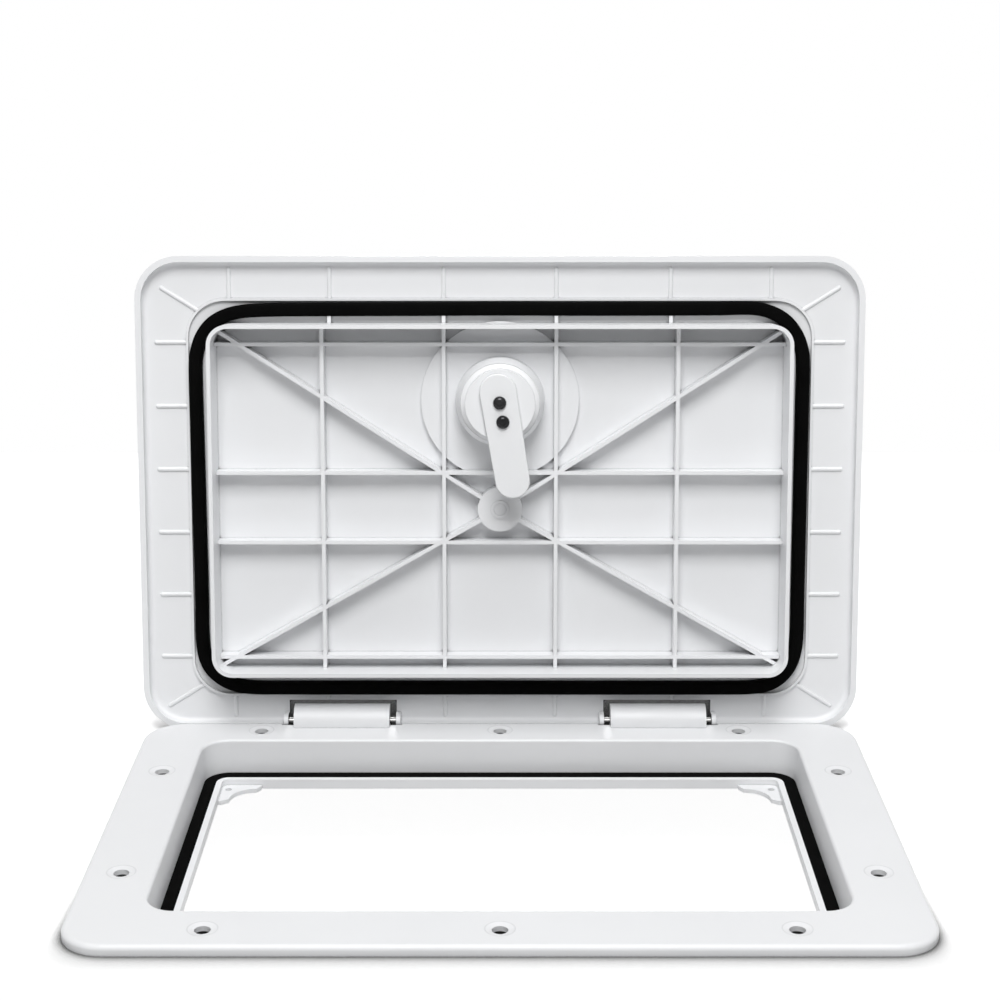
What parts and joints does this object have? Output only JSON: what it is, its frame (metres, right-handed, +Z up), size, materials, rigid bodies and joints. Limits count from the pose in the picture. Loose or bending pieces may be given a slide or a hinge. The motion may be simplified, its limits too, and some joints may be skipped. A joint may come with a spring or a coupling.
{
  "type": "access hatch",
  "caption": "Low rectangular deck frame with a sealed opening, and a hinged ribbed lid held shut by a turning latch.",
  "frame": {"origin": "centre of the deck screw pattern, on the deck plane under the flange", "axes": "+Z up out of the deck, +Y towards the hinges, +X along the hinge axis to the right"},
  "size_m": [0.375, 0.2846, 0.2644],
  "materials": {
    "white_plastic": "satin",
    "black_plastic": "matte",
    "black_rubber": "matte",
    "steel": "bright",
    "black_steel": "satin",
    "brass": "plain"
  },
  "bodies": {
    "frame": {"frame": "white_plastic", "frame_seal": "black_rubber", "hinge_pin_left": "steel", "hinge_pin_right": "steel"},
    "lid": {"lid": "white_plastic", "lid_gasket": "black_rubber"},
    "latch": {"knob": "white_plastic", "knob_washer": "black_plastic", "drum_o_ring": "black_rubber", "retaining_ring": "white_plastic", "latch_tongue": "white_plastic", "screw_insert_inner": "brass", "tongue_screw_inner": "black_steel", "screw_insert_outer": "brass", "tongue_screw_outer": "black_steel"}
  },
  "joints": [
    {"name": "lid_hinge", "type": "hinge", "parent": "frame", "child": "lid", "pos_m": [0, 0.1191, 0.0057], "axis": [1, 0, 0], "range_deg": [0, 98.23]},
    {"name": "latch_turn", "type": "hinge", "parent": "lid", "child": "latch", "pos_m": [0, 0.14329, 0.17296], "axis": [0, -0.9897, 0.1431], "range_deg": [0, 170.6]}
  ]
}
